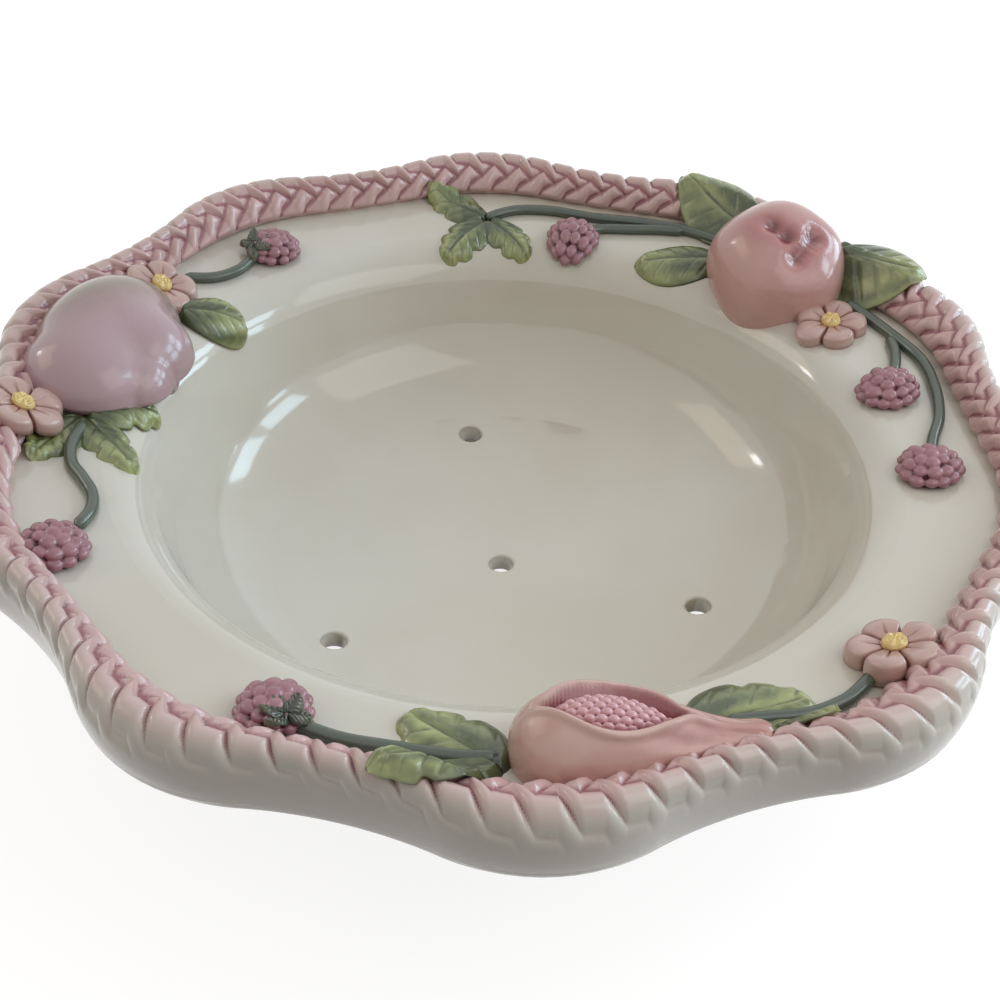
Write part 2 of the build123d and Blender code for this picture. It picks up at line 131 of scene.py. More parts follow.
def on_bowl(x, y, lift):
    """Points above the inside of the bowl, lifted square to it."""
    radius = np.maximum(np.hypot(x, y), 1e-6)
    slope = height(radius + 0.5) - height(radius - 0.5)
    size = np.sqrt(1 + slope**2)
    sink = lift * slope / size / radius
    return np.stack([x - x * sink, y - y * sink, height(radius) + lift / size], -1)


def laid(where, u, v, lift):
    """Points u ahead of a spot and v to its left, on the bowl and lifted off it."""
    centre, facing = where
    x = centre[0] + u * facing[0] - v * facing[1]
    y = centre[1] + u * facing[1] + v * facing[0]
    return on_bowl(x, y, lift)


def standing(angle, across, heading, lift, tilt):
    """Axes ahead, left and up, and the base of a frame that stands on the flange and leans ahead."""
    (x, y), (fx, fy) = spot(angle, across, heading)
    a, t = math.radians(angle), math.radians(tilt)
    normal = Vector((-FLANGE_SLOPE * math.cos(a), -FLANGE_SLOPE * math.sin(a), 1)).normalized()
    facing = Vector((fx, fy, 0))
    facing = (facing - normal * facing.dot(normal)).normalized()
    axis = normal * math.cos(t) + facing * math.sin(t)
    leaning = facing * math.cos(t) - normal * math.sin(t)
    base = np.array((x, y, flange_height(math.hypot(x, y)))) + lift * np.array(normal)
    return np.array([leaning, normal.cross(facing), axis]), base


print("the flange rises", round(math.degrees(math.atan(FLANGE_SLOPE)), 1), "degrees")

# %% [markdown]
# ## Pieces from grids
#
# Every pressed piece is a grid of points whose columns go round it, because a formula for a surface is
# the plainest way to repeat a shape with small changes. Most are closed by a cap underneath. Two numbers
# go with each point: `crevice`, where paint settles as pooled glaze and where shade is painted into the
# hollows, and `tone`, which leads the brush from one colour to another. The paint reads both as
# attributes.

# %% From a grid to a piece
MM, WELD = 0.001, 2e-6


def smooth(low, high, value):
    """0 up to low, 1 from high on, and an easy slope between them."""
    t = np.clip((value - low) / (high - low), 0, 1)
    return t * t * (3 - 2 * t)


def hump(value, width):
    """1 where the value is 0, and gone a few widths away."""
    return np.exp(-((value / width) ** 2))


def around(count):
    """Angles all the way round, as one row."""
    return np.radians(np.linspace(0, 360, count, endpoint=False))[None, :]


def along(end, count):
    """Even steps from 0 to the end, as one column."""
    return np.linspace(0, end, count)[:, None]


def capped(rows):
    """The rows with one more, drawn together in the middle of the last."""
    return np.concatenate([rows, np.broadcast_to(rows[-1].mean(0), rows[-1:].shape)])


def grid_faces(rows, columns):
    """Four-sided faces between the rows, with the last column joined to the first."""
    faces = []
    for i in range(rows - 1):
        for j in range(columns):
            k = (j + 1) % columns
            faces.append((i * columns + j, i * columns + k, (i + 1) * columns + k, (i + 1) * columns + j))
    return faces


def skin(name, grid, paint, replaced, crevice=0.0, tone=0.0, cap=True):
    """A piece whose columns go round. Its last row is closed by a cap, unless its ends need none."""
    sides = grid.shape[:2]
    marks = {"crevice": np.broadcast_to(crevice, sides), "tone": np.broadcast_to(tone, sides)}
    if cap:
        grid = capped(grid)
        marks = {key: np.concatenate([values, values[-1:]]) for key, values in marks.items()}
    mesh = bpy.data.meshes.new(name)
    mesh.from_pydata((grid.reshape(-1, 3) * MM).tolist(), [], grid_faces(*grid.shape[:2]))
    for key, values in marks.items():
        layer = mesh.attributes.new(key, "FLOAT", "POINT")
        layer.data.foreach_set("value", values.ravel().astype(np.float32))
    welded = bmesh.new()
    welded.from_mesh(mesh)
    bmesh.ops.remove_doubles(welded, verts=welded.verts, dist=WELD)
    bmesh.ops.recalc_face_normals(welded, faces=welded.faces)
    welded.to_mesh(mesh)
    welded.free()
    mesh.polygons.foreach_set("use_smooth", [True] * len(mesh.polygons))
    mesh.materials.append(paint)
    piece = bpy.data.objects.new(name, mesh)
    scene.collection.objects.link(piece)
    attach(piece, "root")
    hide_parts(*replaced)
    return piece


print("a grid of 3 by 4 has", len(grid_faces(3, 4)), "faces when it goes round")

# %% [markdown]
# ## Paint and glaze
#
# Underglaze colour is brushed unevenly, and it is darker in the crevices, partly where it pools and partly
# as painted shade, all under one clear glossy coat. A noise texture stands for the brush: it wanders
# between two colours, on top of the tone, and spoils the edge of the darker crevice colour a little, as
# wet paint does. A fine bump keeps the reflections from looking machined.

# %% Small shader helpers
def feed(tree, socket, value):
    """Links another socket into this one, or sets it to a constant."""
    if isinstance(value, bpy.types.NodeSocket):
        tree.links.new(value, socket)
    else:
        socket.default_value = value


def node(tree, kind, **inputs):
    made = tree.nodes.new(kind)
    for key, value in inputs.items():
        feed(tree, made.inputs[key.replace("_", " ")], value)
    return made


def mixed(tree, factor, first, second):
    """From the first colour to the second, as the factor goes from 0 to 1."""
    mix = tree.nodes.new("ShaderNodeMix")
    mix.data_type = "RGBA"
    tree.links.new(factor, mix.inputs[0])
    for index, value in ((6, first), (7, second)):
        feed(tree, mix.inputs[index], (*value, 1) if isinstance(value, tuple) else value)
    return mix.outputs[2]


def summed(tree, first, second, operation="ADD"):
    """Two numbers added, or joined by another operation, and kept between 0 and 1."""
    made = tree.nodes.new("ShaderNodeMath")
    made.operation = operation
    made.use_clamp = True
    for socket, value in zip(made.inputs, (first, second)):
        feed(tree, socket, value)
    return made.outputs[0]


def ramp(tree, value, low, high):
    """0 up to low, 1 from high on, and an easy slope between them."""
    made = node(tree, "ShaderNodeMapRange", Value=value, From_Min=low, From_Max=high)
    made.interpolation_type = "SMOOTHSTEP"
    return made.outputs[0]


def colour(text):
    """A screen colour as the renderer's linear one."""
    parts = [int(text[i : i + 2], 16) / 255 for i in (0, 2, 4)]
    return tuple(c / 12.92 if c <= 0.04045 else ((c + 0.055) / 1.055) ** 2.4 for c in parts)


print("cream is", [round(c, 2) for c in colour("d6d1c4")], "to the renderer")


# %% Glaze on any material
def fresh_material(name):
    """A new material with its node tree and its main shader."""
    material = bpy.data.materials.new(name)
    material.use_nodes = True
    return material, material.node_tree, material.node_tree.nodes["Principled BSDF"]


def glaze(tree, shader, where, gloss, ripple):
    """Gloss is roughness, coat and the coat's roughness. Ripple is scale, strength and depth."""
    for key, value in zip(("Roughness", "Coat Weight", "Coat Roughness"), gloss):
        shader.inputs[key].default_value = value
    scale, strength, depth = ripple
    waver = node(tree, "ShaderNodeTexNoise", Vector=where, Scale=scale, Detail=2.0).outputs[0]
    bump = node(tree, "ShaderNodeBump", Strength=strength, Distance=depth, Height=waver)
    tree.links.new(bump.outputs[0], shader.inputs["Normal"])


print(len(bpy.data.materials), "materials before any paint")

# %% Brushed paint under glaze
PAINT_GLOSS, PAINT_RIPPLE = (0.22, 0.35, 0.05), (260.0, 0.15, 0.0006)


def painted(name, ground, other, pooled_and_shaded, mottle, streak):
    """ground and other are brushed along tone, and the third colour fills the crevices, as pooled glaze and
    as painted shade.
    """
    material, tree, shader = fresh_material(name)
    where = tree.nodes.new("ShaderNodeTexCoord").outputs["Object"]
    brush = node(tree, "ShaderNodeTexNoise", Vector=where, Scale=streak, Detail=5.0, Roughness=0.6).outputs[0]
    ends = {"From_Min": 0.25, "From_Max": 0.75, "To_Min": -mottle, "To_Max": mottle}
    wander = node(tree, "ShaderNodeMapRange", Value=brush, **ends).outputs[0]
    marks = {}
    for key in ("tone", "crevice"):
        read = tree.nodes.new("ShaderNodeAttribute")
        read.attribute_name = key
        marks[key] = summed(tree, read.outputs["Fac"], wander)
    body = mixed(tree, marks["tone"], colour(ground), colour(other))
    # the crevice colour darkens the hollows both as pooled glaze and as painted shade
    full = mixed(tree, ramp(tree, marks["crevice"], 0.15, 0.95), body, colour(pooled_and_shaded))
    tree.links.new(full, shader.inputs["Base Color"])
    glaze(tree, shader, where, PAINT_GLOSS, PAINT_RIPPLE)
    return material


# the peach's second colour, duller and browner, is the painted shade of its outer side
peach_paint = painted("peach paint", "b89aa0", "8c7866", "86626a", 0.25, 42.0)
apple_paint = painted("apple paint", "cba09a", "b57674", "783a41", 0.35, 60.0)
fig_paint = painted("fig paint", "d3aea3", "bd8882", "94545a", 0.35, 70.0)
seed_paint = painted("fig seed paint", "d9a8ac", "cb959c", "85424e", 0.2, 200.0)
berry_paint = painted("berry paint", "ab7a82", "915c68", "56242f", 0.4, 260.0)
leaf_paint = painted("leaf paint", "485434", "a9b076", "2f3926", 0.4, 150.0)
vine_paint = painted("vine paint", "4c574d", "5e6957", "363f37", 0.4, 120.0)
calyx_paint = painted("calyx paint", "414a3c", "6a6650", "2b3129", 0.4, 200.0)
blossom_paint = painted("blossom paint", "c9a9a0", "b58b83", "8c5c52", 0.25, 170.0)
eye_paint = painted("blossom eye paint", "f0d690", "e2c074", "a4824e", 0.4, 420.0)
rope_paint = painted("rope paint", "cfaaa7", "cdc6ba", "9c626a", 0.22, 120.0)
print(len(bpy.data.materials), "materials")

# %% [markdown]
# ## Bowl
#
# The bowl keeps its exact solid, because a cast and fettled surface has no more detail than that. Its
# cream glaze is not one colour: it clouds a little towards a warmer and darker cream, as a dipped glaze
# does where it runs thick. The ripple of the dip shows only as a slight waver in the reflected window.

# %% Cream glaze on the bowl
CREAM_GLOSS, CREAM_RIPPLE = (0.12, 0.5, 0.03), (22.0, 0.2, 0.002)


def cream_glaze():
    material, tree, shader = fresh_material("cream glaze")
    where = tree.nodes.new("ShaderNodeTexCoord").outputs["Object"]
    cloud = node(tree, "ShaderNodeTexNoise", Vector=where, Scale=12.0, Detail=4.0, Roughness=0.55).outputs[0]
    body = mixed(tree, ramp(tree, cloud, 0.3, 0.7), colour("d6d2c7"), colour("cfc8b9"))
    tree.links.new(body, shader.inputs["Base Color"])
    glaze(tree, shader, where, CREAM_GLOSS, CREAM_RIPPLE)
    return material


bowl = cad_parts["bowl_body"]
bowl.data.materials.clear()
bowl.data.materials.append(cream_glaze())
print("bowl", len(bowl.data.polygons), "faces")

# %% [markdown]
# ## Rope border
#
# Two rows of strands lean away from a zigzag spine. The outer row runs over the edge and fades into the
# cream side of the lip. A hundred separate strands could be instanced along a curve, but pressed clay has
# no gaps, so the border is one skin: a section swept round the scalloped rim, with the strands raised on
# it by their phase. A leaf that crosses the rope lies over it, so the height that clears the strands is
# kept as a line of its own.

# %% The scalloped rim
SCALLOPS, SCALLOP_DEPTH, CREST = 10, 4.4, 95.0
HALF_PITCH = 180.0 / SCALLOPS


def reach(angle):
    """The radius of the rim: bulges and bays are arcs that meet on a common tangent."""
    half_chord = RIM * math.sin(math.radians(HALF_PITCH / 2))
    rise = RIM + SCALLOP_DEPTH - RIM * math.cos(math.radians(HALF_PITCH / 2))
    bulge = (half_chord**2 + rise**2) / (2 * rise)
    bulge_at = RIM + SCALLOP_DEPTH - bulge
    low = RIM - SCALLOP_DEPTH
    lean = bulge_at * math.cos(math.radians(HALF_PITCH))
    bay = (bulge**2 - bulge_at**2 - low**2 + 2 * lean * low) / (2 * (low - lean - bulge))
    bay_at = low + bay
    off = np.abs((angle - CREST + HALF_PITCH) % (2 * HALF_PITCH) - HALF_PITCH)
    turn, back = np.radians(off), np.radians(HALF_PITCH - off)
    out = bulge_at * np.cos(turn) + np.sqrt(np.maximum(bulge**2 - (bulge_at * np.sin(turn)) ** 2, 0))
    into = bay_at * np.cos(back) - np.sqrt(np.maximum(bay**2 - (bay_at * np.sin(back)) ** 2, 0))
    return np.where(off < HALF_PITCH / 2, out, into)


def flowing(stops, steps):
    """A smooth line through the stops."""
    stops = np.asarray(stops, float)
    knots = np.concatenate([[2 * stops[0] - stops[1]], stops, [2 * stops[-1] - stops[-2]]])
    line = []
    for a, b, c, d in zip(knots, knots[1:], knots[2:], knots[3:]):
        for t in np.linspace(0, 1, steps, endpoint=False):
            square, cube = 2 * a - 5 * b + 4 * c - d, 3 * b - a - 3 * c + d
            line.append(b + 0.5 * ((c - a) * t + square * t**2 + cube * t**3))
    return np.array([*line, stops[-1]])


print("rim from", round(float(reach(CREST + HALF_PITCH)), 1), "to", round(float(reach(CREST)), 1))

# %% The two rows of strands
STRANDS, STRAND_COLUMNS = 100, 24
ROPE_INSIDE, ROPE_FOLLOW = 127.6, 0.35
# across from the rope's inner edge to the rim, and height over the flange
rope_section = (
    (0, -0.5), (0.04, 2.2), (0.18, 4.9), (0.42, 7.0), (0.7, 7.4),
    (0.94, 5.4), (1.07, 1.6), (1.05, -4.0), (0.93, -9.2), (0.8, -9.6),
)
SPINE, SPINE_ZIGZAG, SPINE_WIDTH, SPINE_LINE = 0.27, 0.055, 0.035, 0.022
OUTER_LEAN, INNER_LEAN, STRAND_END = 1.5, 0.65, 0.66
FADE_FROM, FADE_TO = 0.4, 0.72
STRAND_RELIEF = 2.3


def rope_inside(rim):
    """The radius of the rope's inner edge, which follows a share of the scallops."""
    return ROPE_INSIDE + ROPE_FOLLOW * (rim - RIM)


def strand_pattern(angle, s):
    """1 in the grooves beside a strand, the way past the spine, and 0 where the strands have faded."""
    step = angle * STRANDS / 360
    zigzag = SPINE_ZIGZAG * (1 - 4 * np.abs(step % 1 - 0.5))
    over = s - SPINE + zigzag
    outer = (step - OUTER_LEAN * np.maximum(over, 0) / (STRAND_END - SPINE)) % 1
    inner = (step + INNER_LEAN * np.minimum(over, 0) / SPINE + 0.5) % 1
    edge = np.abs(2 * np.where(over > 0, outer, inner) - 1)
    fade = (1 - smooth(FADE_FROM, FADE_TO, s)) * smooth(0.0, 0.08, s)
    return edge, over, fade


def rope():
    """The points of the border, its grooves, and how far its pink has faded to cream."""
    angle = np.linspace(0, 360, STRANDS * STRAND_COLUMNS, endpoint=False)[None, :]
    across, rise = flowing(rope_section, 6).T
    s = along(1, len(across))
    rim = reach(angle)
    inner = rope_inside(rim)
    radius = inner + across[:, None] * (rim - inner)
    z = height((inner + rim) / 2) + rise[:, None]
    edge, over, fade = strand_pattern(angle, s)
    relief = STRAND_RELIEF * (1 - edge**2.2) ** 0.7 * fade * (1 - 0.8 * hump(over, SPINE_WIDTH))
    dr, dz = np.gradient(radius, axis=0), np.gradient(z, axis=0)
    size = np.hypot(dr, dz)
    radius, z = radius - relief * dz / size, z + relief * dr / size
    a = np.radians(angle)
    grid = np.stack([radius * np.cos(a), radius * np.sin(a), z], -1)
    groove = np.clip(smooth(0.72, 1.0, edge) * fade + 0.9 * hump(over, SPINE_LINE), 0, 1)
    return grid, groove, smooth(0.32, 0.58, s) * np.ones_like(angle)


rope_grid, rope_groove, rope_fade = rope()
strand_rows = ["rope_outer_strands", "rope_inner_strands"]
border = skin(
    "rope_border", rope_grid, rope_paint, strand_rows, rope_groove, rope_fade, cap=False
)
print("rope", len(border.data.polygons), "faces")

# %% Clear of the rope
ROPE_CLEARANCE = ((-0.5, 0.0, 0.4, 0.8, 1.0), (0.0, 4.4, 9.2, 9.6, 8.4))


def rope_top(place):
    """How high a leaf has to lie above the flange to clear the strands, 0 off the rope."""
    x, y = place[..., 0], place[..., 1]
    rim = reach(np.degrees(np.arctan2(y, x)))
    inner = rope_inside(rim)
    return np.interp((np.hypot(x, y) - inner) / (rim - inner), *ROPE_CLEARANCE)


print("a leaf lies up to", max(ROPE_CLEARANCE[1]), "mm above the flange")

# %% [markdown]
# ## Berries
#
# A berry is a low dome covered in rings of drupelets. Little spheres could be scattered on it, but here
# one skin is pushed out along rays from the middle to the farthest sphere, so that they melt into each
# other as clay does.

# %% Berries on the flange
rng = random.Random(7)
BERRY_CORE, BERRY_SQUASH, BERRY_SEAT = 6.9, 0.74, 0.5
DRUPELET_SIZES = (1.85, 2.25)
# degrees above the flange, and how many
drupelet_rings = ((90, 1), (64, 6), (39, 10), (15, 13))


def drupelets():
    """The middle and the radius of each drupelet, ring by ring and a little uneven."""
    for ring, (lift, count) in enumerate(drupelet_rings):
        for k in range(count):
            way = math.radians(360 * (k + 0.5 * (ring % 2)) / count + rng.uniform(-4, 4))
            rise = math.radians(lift + rng.uniform(-2, 2))
            out, above = math.cos(rise), math.sin(rise)
            centre = BERRY_CORE * np.array([out * math.cos(way), out * math.sin(way), above])
            yield centre, rng.uniform(*DRUPELET_SIZES)


def berry(name, angle, across, heading):
    polar, turn = np.radians(along(96, 60)), around(150)
    flat = np.sin(polar)
    ray = np.stack([flat * np.cos(turn), flat * np.sin(turn), np.cos(polar) * np.ones_like(turn)], -1)
    far = np.full(ray.shape[:2], BERRY_CORE)
    for centre, grain in drupelets():
        toward = ray @ centre
        root = grain**2 - centre @ centre + toward**2
        far = np.maximum(far, np.where(root > 0, toward + np.sqrt(np.maximum(root, 0)), 0))
    shape = ray * far[..., None]
    lift = BERRY_SEAT + BERRY_SQUASH * shape[..., 2]
    grid = laid(spot(angle, across, heading), shape[..., 0], shape[..., 1], lift)
    depth = 1 - smooth(BERRY_CORE + 0.1, BERRY_CORE + 1.7, far)
    return skin(name, grid, berry_paint, [name], depth, 0.35 + 0.4 * smooth(1.0, 1.6, polar))


# angle, across from well to rim, heading
berries = {
    "left_front_berry": (210.0, 0.5, 150.0),
    "left_back_berry": (131.5, 0.3, 75.0),
    "right_upper_berry": (12.6, 0.13, 30.0),
    "right_lower_berry": (353.6, 0.2, 60.0),
    "back_berry": (80.0, 0.02, -60.0),
    "front_berry": (246.9, 0.38, 70.0),
}
for name, place in berries.items():
    berry(name, *place)
print(len(berries), "berries of", sum(count for _, count in drupelet_rings), "drupelets")

# %% [markdown]
# ## Blossoms
#
# Five round petals, pressed in one piece, each with a crease down its middle, and a grainy yellow eye.
# Petals made one by one would leave gaps to close, so here they are one disc whose edge follows their
# lobes, sunk along the five gaps where brown paint has settled. Each has a lift, a tilt and a seat: the
# blossom at the left edge is seated higher, because it rests on the rope.

# %% Petals and eyes
PETALS, PETAL_REACH, PETAL_NOTCH = 5, 10.6, 0.34
GAP_DEPTH, CREASE_DEPTH = 1.5, 0.45
EYE_RADIUS, EYE_SEAT, EYE_RISE = 2.9, 1.2, 2.7


def petals(name, where, lift, tilt, seat):
    out, turn = along(1, 36), around(240)
    lobe = np.abs(np.cos(PETALS / 2 * turn))
    radius = PETAL_REACH * (1 - PETAL_NOTCH + PETAL_NOTCH * lobe**0.45) * np.sin(out * math.pi / 2)
    gap = hump(lobe, 0.16) * smooth(1.5, 4, radius)
    crease = hump(1 - lobe, 0.012) * smooth(1, 3, radius) * (1 - smooth(5, 8.5, radius))
    cup = 1.4 + 1.7 * np.sin(np.clip(radius / 9, 0, 1) * math.pi / 2) + 0.5 * lobe * smooth(3, 8, radius)
    rise = (cup - GAP_DEPTH * gap - CREASE_DEPTH * crease) * np.sqrt(np.maximum(0, 1 - out**5))
    u, v = radius * np.cos(turn), radius * np.sin(turn)
    raised = seat + lift * np.sqrt(np.maximum(0, 1 - out**8)) + math.tan(math.radians(tilt)) * u
    grid = laid(where, u, v, rise + raised)
    depth = np.clip(gap + 0.5 * crease + 0.9 * (1 - smooth(2.2, 4.4, radius)), 0, 1)
    return skin(name, grid, blossom_paint, [name], depth, 0.2 + 0.5 * smooth(8, 3, radius))


def blossom_eye(name, where, lift, tilt, seat):
    out, turn = along(1, 16), around(60)
    radius = EYE_RADIUS * np.sin(out * math.pi / 2) * np.ones_like(turn)
    grains = 0.3 * np.cos(6 * turn + 4 * out) * np.sin(out * math.pi) + 0.25 * np.cos(9 * out * math.pi)
    u, v = radius * np.cos(turn), radius * np.sin(turn)
    rise = EYE_SEAT + EYE_RISE * np.sqrt(np.maximum(0, 1 - out**3)) + grains * (1 - out**4)
    raised = seat + lift + math.tan(math.radians(tilt)) * u
    grid = laid(where, u, v, rise + raised)
    depth = np.clip(0.7 * smooth(0.7, 1, out) - grains, 0, 1)
    return skin(name, grid, eye_paint, [name], depth, 0.5)


print("a blossom is", 2 * PETAL_REACH, "mm across")

# %% Blossoms of the three sprigs
# place, lift, tilt, seat
blossoms = {
    "left_back_blossom": ((152.0, 0.4, 20.0), 2.6, 14.0, 0.0),
    "left_edge_blossom": ((186.0, 0.64, 10.0), 0.8, 18.0, 4.8),
    "apple_blossom": ((30.8, 0.17, 35.0), 0.6, 0.0, 0.0),
    "front_blossom": ((316.3, 0.5, 0.0), 2.6, 12.0, 0.0),
}
for name, (place, *seating) in blossoms.items():
    petals(name, spot(*place), *seating)
    blossom_eye(name + "_eye", spot(*place), *seating)
print(len(blossoms), "blossoms of", PETALS, "petals")

# %% [markdown]
# ## Leaves
#
# Leaves are pads of clay with engraved veins, brushed dark green at the stalk and yellow-green at the tip
# in visible strokes. A flat mesh with a displacement texture would give the veins but not the soft
# rounded edge, so a leaf is a closed blade: its sections run out along the top and back along the
# underside.

# %% A blade of clay
BLADE_ROWS, BLADE_COLUMNS, BLADE_SINK = 64, 41, 0.35
RIB_WIDTH, RIB_DEPTH = 0.55, 0.6
VEINS, VEIN_LEAN, VEIN_WIDTH, VEIN_DEPTH = 5.5, 0.8, 0.12, 0.4
STROKES = 4


def strokes(u, v):
    """Brush strokes that run along a blade, light or dark by turns."""
    total = 0
    for _ in range(STROKES):
        total = total + np.sin(rng.uniform(4, 13) * v + rng.uniform(-4, 4) * u + rng.uniform(0, 6.3))
    return total / STROKES


def blade_outline(u, lobes):
    """The width along a blade, as a share of the widest, notched twice where it has lobes."""
    notch = 1 - lobes * (hump(u - 0.58, 0.05) + 0.8 * hump(u - 0.82, 0.04))
    return np.sin(math.pi * u**0.82) ** 0.6 * notch


def blade(name, where, length, width, paint, replaced, climb=0.0, lobes=0.0, lift=0.0, thick=2.7):
    """A closed pad: each section runs out along the top and back along the underside."""
    u = along(1, BLADE_ROWS)
    edge_to_edge = np.linspace(-1, 1, BLADE_COLUMNS)
    v = np.concatenate([edge_to_edge, edge_to_edge[::-1]])[None, :]
    top = np.repeat((True, False), BLADE_COLUMNS)[None, :]
    side = np.abs(v)
    x, y = length * u * np.ones_like(v), width / 2 * blade_outline(u, lobes) * v
    rib = hump(y, RIB_WIDTH) * (1 - smooth(0.8, 0.97, u)) * smooth(0, 0.08, u)
    slant = VEINS * (x - VEIN_LEAN * np.abs(y)) / length
    vein = hump(slant % 1 - 0.5, VEIN_WIDTH) * smooth(0.04, 0.2, side) * (1 - smooth(0.7, 0.95, side))
    plump = (1 - side**3) * smooth(0, 0.1, u) * (1 - smooth(0.88, 1.0, u))
    wave = 0.35 * np.sin(9 * u + 2 * v) * side
    upper = thick * plump - RIB_DEPTH * rib - VEIN_DEPTH * vein + wave * plump
    raised = climb * u**1.2 - BLADE_SINK + lift + rope_top(laid(where, x, y, 0.0))
    grid = laid(where, x, y, np.where(top, upper, -0.5 * plump) + raised)
    depth = 0.7 * rib + 0.45 * vein + 0.45 * smooth(0.82, 1, side) + 0.4 * smooth(0.2, 0, u)
    light = 0.75 * smooth(0.15, 0.9, u) + 0.45 * strokes(u, v) * smooth(0.05, 0.4, u)
    depth, light = np.clip(depth, 0, 1), np.clip(light, 0, 1)
    return skin(name, grid, paint, replaced, depth, light, cap=False)


print("a blade's section has", 2 * BLADE_COLUMNS, "points")

# %% Leaves of the three sprigs
# place, length, width, climb towards the tip, depth of the lobes, lift
leaves = {
    "apple_top_leaf": ((53.0, 0.66, 80.0), 33.0, 20.0, 1.0, 0.0, 0.6),
    "apple_right_leaf": ((40.5, 0.68, -75.0), 32.0, 24.0, 1.0, 0.0, 0.6),
    "fig_lower_left_leaf": ((269.5, 0.6, -72.0), 24.5, 14.5, 0.6, 0.2, 0.5),
    "apple_left_leaf": ((54.5, 0.27, 125.0), 28.0, 18.0, 0.0, 0.0, 0.5),
    "peach_leaf": ((154.4, 0.12, -137.0), 19.5, 16.0, 0.0, 0.0, 1.0),
    "peach_trefoil_inner": ((183.0, 0.23, -151.0), 20.0, 15.0, 0.0, 0.25, 0.8),
    "peach_trefoil_outer": ((183.0, 0.23, 66.0), 22.5, 14.5, 0.0, 0.25, 0.0),
    "peach_trefoil_front": ((183.0, 0.23, 130.5), 25.0, 13.5, 0.0, 0.25, 0.0),
    "back_trefoil_outer": ((95.0, 0.24, 53.1), 24.0, 14.0, 0.0, 0.25, 0.0),
    "back_trefoil_left": ((95.0, 0.24, 138.1), 22.6, 15.0, 0.0, 0.25, 0.0),
    "back_trefoil_right": ((95.0, 0.24, -140.8), 21.0, 14.0, 0.0, 0.25, 0.0),
    "fig_upper_left_leaf": ((271.5, 0.52, -128.0), 29.0, 21.0, 0.0, 0.15, 0.0),
    "fig_upper_right_leaf": ((290.6, 0.31, 90.0), 31.0, 25.0, 0.0, 0.12, 0.0),
    "fig_lower_right_leaf": ((298.0, 0.55, 60.0), 14.0, 7.0, 1.0, 0.0, 0.0),
}
for name, (place, length, width, climb, lobes, lift) in leaves.items():
    blade(name, spot(*place), length, width, leaf_paint, [name], climb, lobes, lift)
print(len(leaves), "leaves")

# %% [markdown]
# ## Vines
#
# The vines are rolled coils of clay laid on the flange. A bevelled curve would make the tube, but it
# would not sink into the bowl's slope, so each is a tube swept along a smooth line in plan and set on the
# ground by formula.

# %% Vines from fruit to berries
VINE, VINE_SEAT, VINE_TAPER = 1.65, 1.2, 3


def vine(name, route):
    line = flowing([spot(angle, across)[0] for angle, across in route], 12)
    going = np.gradient(line, axis=0)
    going /= np.linalg.norm(going, axis=1)[:, None]
    side = np.stack([-going[:, 1], going[:, 0]], 1)
    turn = around(20)
    ends = np.minimum(np.arange(len(line)), np.arange(len(line))[::-1])[:, None]
    thick = VINE * np.sqrt(np.clip(ends / VINE_TAPER, 0.02, 1))
    x = line[:, :1] + thick * np.cos(turn) * side[:, :1]
    y = line[:, 1:] + thick * np.cos(turn) * side[:, 1:]
    grid = on_bowl(x, y, VINE_SEAT + thick * np.sin(turn))
    grid = np.concatenate([np.broadcast_to(grid[0].mean(0), grid[:1].shape), grid])
    # painted shade: the lower half of each coil is painted darker, as shade under it
    return skin(name, grid, vine_paint, [name], smooth(0.1, -0.8, np.sin(turn)), 0.3)


# angle and across, stop by stop
vines = {
    "left_front_vine": (
        (184.5, 0.2), (189.4, 0.26), (193.5, 0.25), (197.0, 0.17), (200.5, 0.12), (204.0, 0.16), (207.0, 0.3),
    ),
    "left_back_vine": ((147.0, 0.45), (143.5, 0.26), (139.5, 0.21), (135.5, 0.27), (132.5, 0.3)),
    "right_vine": (
        (34.0, 0.5), (30.0, 0.52), (24.5, 0.54), (17.6, 0.57), (11.0, 0.5), (5.0, 0.4), (0.2, 0.28),
        (356.0, 0.22),
    ),
    "right_branch": ((24.0, 0.5), (20.5, 0.42), (17.0, 0.3), (14.5, 0.18)),
    "back_vine": (
        (57.0, 0.52), (63.5, 0.52), (70.5, 0.47), (78.0, 0.41), (84.4, 0.44), (89.5, 0.42), (93.0, 0.34),
        (95.0, 0.26),
    ),
    "back_branch": ((63.0, 0.5), (67.0, 0.42), (71.0, 0.33), (76.0, 0.24), (79.0, 0.1)),
    "front_left_vine": (
        (271.0, 0.4), (266.2, 0.42), (259.5, 0.42), (255.3, 0.44), (251.7, 0.43), (248.5, 0.4),
    ),
    "front_right_vine": (
        (295.0, 0.34), (298.0, 0.4), (302.9, 0.53), (306.7, 0.57), (309.2, 0.56), (313.0, 0.52),
    ),
}
for name, route in vines.items():
    vine(name, route)
print(len(vines), "vines")

# %% [markdown]
# ## Peach
#
# A mauve lump with swollen cheeks. Metaballs would melt the cheeks together, but their outline is hard to
# steer, so its height is a soft maximum of four ovals over the flange, and its underside is tucked in
# below. Its outer side, the back lobe that lies in shade, is painted duller and browner as a painted shade.

# %% Peach
peach_place = (169.0, 0.27, 90.0, 1.0, 0.0)
# middle ahead and left, half length, half width, height
peach_ovals = ((-3, -2, 27, 19, 18.5), (13, -1, 16, 18, 15.5), (-2, 8, 15, 15, 15.5), (9, 12, 11, 10, 10.5))
PEACH_MELT = 10
PEACH_SEARCH, PEACH_STEP, PEACH_EVEN = 42, 0.05, 3
PEACH_INSET, PEACH_TUCK, PEACH_TUCK_IN = 0.992, 4.5, 0.3
tuck_turns = (20, 40, 60, 80)


